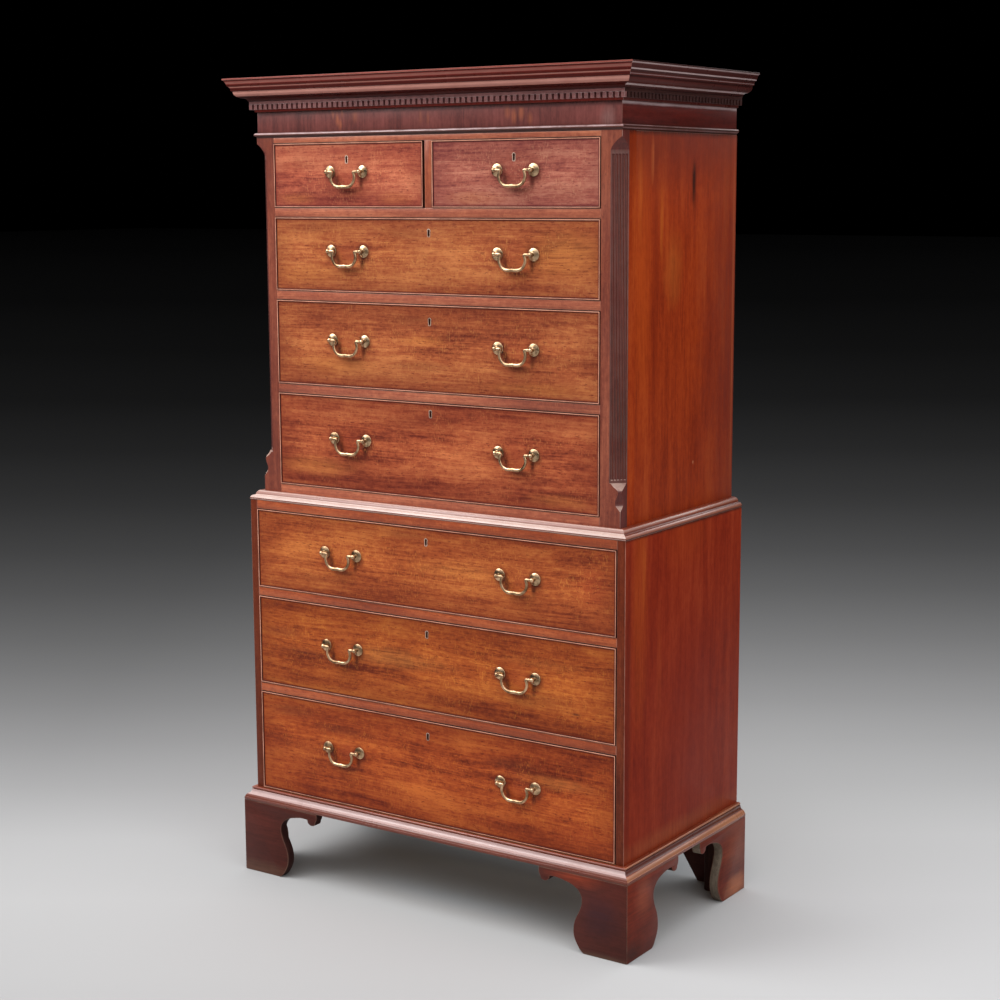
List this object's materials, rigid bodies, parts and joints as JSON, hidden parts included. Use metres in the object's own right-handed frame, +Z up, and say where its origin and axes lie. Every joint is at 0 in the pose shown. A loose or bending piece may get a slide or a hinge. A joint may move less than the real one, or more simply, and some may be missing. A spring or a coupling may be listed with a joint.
{
  "type": "chest on chest",
  "caption": "Tall mahogany chest on chest with graduated drawers, swan-neck brass handles, canted fluted corners, dentil cornice and bracket feet.",
  "frame": {"origin": "on the floor, under the middle of the whole object's box", "axes": "+Z up, the drawers open towards -Y, +X to the right as seen from the front"},
  "size_m": [1.08, 0.557, 1.88],
  "materials": {
    "drawer_mahogany": "figured orange-brown mahogany, waxed over old varnish, satin",
    "case_mahogany": "red-brown mahogany, waxed, satin",
    "dark_mahogany": "dark red-brown mahogany with rubbed edges, satin",
    "oak_lining": "unfinished oak and pine linings, dry and aged",
    "brass": "pale lacquered cast brass, polished by use"
  },
  "bodies": {
    "carcase": {"lower_side_left": "case_mahogany", "lower_side_right": "case_mahogany", "lower_top_rail": "case_mahogany", "lower_rail_1": "case_mahogany", "lower_rail_2": "case_mahogany", "waist_moulding": "case_mahogany", "base_moulding": "case_mahogany", "upper_side_left": "case_mahogany", "upper_side_right": "case_mahogany", "upper_bottom_rail": "case_mahogany", "upper_rail_1": "case_mahogany", "upper_rail_2": "case_mahogany", "upper_rail_3": "case_mahogany", "upper_top_rail": "case_mahogany", "muntin": "case_mahogany", "foot_front_left": "dark_mahogany", "foot_front_right": "dark_mahogany", "foot_back_left": "dark_mahogany", "foot_back_right": "dark_mahogany", "corner_post_left": "dark_mahogany", "corner_post_right": "dark_mahogany", "frieze": "dark_mahogany", "dentil_course": "dark_mahogany", "cornice": "dark_mahogany", "lower_top_board": "oak_lining", "lower_bottom_board": "oak_lining", "lower_back": "oak_lining", "upper_bottom_board": "oak_lining", "upper_top_board": "oak_lining", "upper_back": "oak_lining"},
    "drawer_1_left": {"drawer_1_left_front": "drawer_mahogany", "drawer_1_left_box": "oak_lining"},
    "drawer_1_right": {"drawer_1_right_front": "drawer_mahogany", "drawer_1_right_box": "oak_lining"},
    "drawer_2": {"drawer_2_front": "drawer_mahogany", "drawer_2_box": "oak_lining"},
    "drawer_3": {"drawer_3_front": "drawer_mahogany", "drawer_3_box": "oak_lining"},
    "drawer_4": {"drawer_4_front": "drawer_mahogany", "drawer_4_box": "oak_lining"},
    "drawer_5": {"drawer_5_front": "drawer_mahogany", "drawer_5_box": "oak_lining"},
    "drawer_6": {"drawer_6_front": "drawer_mahogany", "drawer_6_box": "oak_lining"},
    "drawer_7": {"drawer_7_front": "drawer_mahogany", "drawer_7_box": "oak_lining"},
    "drawer_1_left_bail": {"drawer_1_left_bail": "brass"},
    "drawer_1_right_bail": {"drawer_1_right_bail": "brass"},
    "drawer_2_bail_left": {"drawer_2_bail_left": "brass"},
    "drawer_2_bail_right": {"drawer_2_bail_right": "brass"},
    "drawer_3_bail_left": {"drawer_3_bail_left": "brass"},
    "drawer_3_bail_right": {"drawer_3_bail_right": "brass"},
    "drawer_4_bail_left": {"drawer_4_bail_left": "brass"},
    "drawer_4_bail_right": {"drawer_4_bail_right": "brass"},
    "drawer_5_bail_left": {"drawer_5_bail_left": "brass"},
    "drawer_5_bail_right": {"drawer_5_bail_right": "brass"},
    "drawer_6_bail_left": {"drawer_6_bail_left": "brass"},
    "drawer_6_bail_right": {"drawer_6_bail_right": "brass"},
    "drawer_7_bail_left": {"drawer_7_bail_left": "brass"},
    "drawer_7_bail_right": {"drawer_7_bail_right": "brass"}
  },
  "joints": [
    {"name": "drawer_1_left_slide", "type": "slide", "parent": "carcase", "child": "drawer_1_left", "axis": [0, -1, 0], "range_m": [0, 0.38]},
    {"name": "drawer_1_right_slide", "type": "slide", "parent": "carcase", "child": "drawer_1_right", "axis": [0, -1, 0], "range_m": [0, 0.38]},
    {"name": "drawer_2_slide", "type": "slide", "parent": "carcase", "child": "drawer_2", "axis": [0, -1, 0], "range_m": [0, 0.38]},
    {"name": "drawer_3_slide", "type": "slide", "parent": "carcase", "child": "drawer_3", "axis": [0, -1, 0], "range_m": [0, 0.38]},
    {"name": "drawer_4_slide", "type": "slide", "parent": "carcase", "child": "drawer_4", "axis": [0, -1, 0], "range_m": [0, 0.38]},
    {"name": "drawer_5_slide", "type": "slide", "parent": "carcase", "child": "drawer_5", "axis": [0, -1, 0], "range_m": [0, 0.38]},
    {"name": "drawer_6_slide", "type": "slide", "parent": "carcase", "child": "drawer_6", "axis": [0, -1, 0], "range_m": [0, 0.38]},
    {"name": "drawer_7_slide", "type": "slide", "parent": "carcase", "child": "drawer_7", "axis": [0, -1, 0], "range_m": [0, 0.38]},
    {"name": "drawer_1_left_bail_swing", "type": "hinge", "parent": "drawer_1_left", "child": "drawer_1_left_bail", "pos_m": [-0.226, -0.2375, 1.66911], "axis": [-1, 0, 0], "range_deg": [-15, 195]},
    {"name": "drawer_1_right_bail_swing", "type": "hinge", "parent": "drawer_1_right", "child": "drawer_1_right_bail", "pos_m": [0.226, -0.2375, 1.66911], "axis": [-1, 0, 0], "range_deg": [-15, 195]},
    {"name": "drawer_2_bail_left_swing", "type": "hinge", "parent": "drawer_2", "child": "drawer_2_bail_left", "pos_m": [-0.226, -0.2375, 1.49346], "axis": [-1, 0, 0], "range_deg": [-15, 195]},
    {"name": "drawer_2_bail_right_swing", "type": "hinge", "parent": "drawer_2", "child": "drawer_2_bail_right", "pos_m": [0.226, -0.2375, 1.49346], "axis": [-1, 0, 0], "range_deg": [-15, 195]},
    {"name": "drawer_3_bail_left_swing", "type": "hinge", "parent": "drawer_3", "child": "drawer_3_bail_left", "pos_m": [-0.226, -0.2375, 1.29328], "axis": [-1, 0, 0], "range_deg": [-15, 195]},
    {"name": "drawer_3_bail_right_swing", "type": "hinge", "parent": "drawer_3", "child": "drawer_3_bail_right", "pos_m": [0.226, -0.2375, 1.29328], "axis": [-1, 0, 0], "range_deg": [-15, 195]},
    {"name": "drawer_4_bail_left_swing", "type": "hinge", "parent": "drawer_4", "child": "drawer_4_bail_left", "pos_m": [-0.226, -0.2375, 1.06858], "axis": [-1, 0, 0], "range_deg": [-15, 195]},
    {"name": "drawer_4_bail_right_swing", "type": "hinge", "parent": "drawer_4", "child": "drawer_4_bail_right", "pos_m": [0.226, -0.2375, 1.06858], "axis": [-1, 0, 0], "range_deg": [-15, 195]},
    {"name": "drawer_5_bail_left_swing", "type": "hinge", "parent": "drawer_5", "child": "drawer_5_bail_left", "pos_m": [-0.243, -0.2595, 0.80471], "axis": [-1, 0, 0], "range_deg": [-15, 195]},
    {"name": "drawer_5_bail_right_swing", "type": "hinge", "parent": "drawer_5", "child": "drawer_5_bail_right", "pos_m": [0.243, -0.2595, 0.80471], "axis": [-1, 0, 0], "range_deg": [-15, 195]},
    {"name": "drawer_6_bail_left_swing", "type": "hinge", "parent": "drawer_6", "child": "drawer_6_bail_left", "pos_m": [-0.243, -0.2595, 0.58516], "axis": [-1, 0, 0], "range_deg": [-15, 195]},
    {"name": "drawer_6_bail_right_swing", "type": "hinge", "parent": "drawer_6", "child": "drawer_6_bail_right", "pos_m": [0.243, -0.2595, 0.58516], "axis": [-1, 0, 0], "range_deg": [-15, 195]},
    {"name": "drawer_7_bail_left_swing", "type": "hinge", "parent": "drawer_7", "child": "drawer_7_bail_left", "pos_m": [-0.243, -0.2595, 0.33953], "axis": [-1, 0, 0], "range_deg": [-15, 195]},
    {"name": "drawer_7_bail_right_swing", "type": "hinge", "parent": "drawer_7", "child": "drawer_7_bail_right", "pos_m": [0.243, -0.2595, 0.33953], "axis": [-1, 0, 0], "range_deg": [-15, 195]}
  ]
}
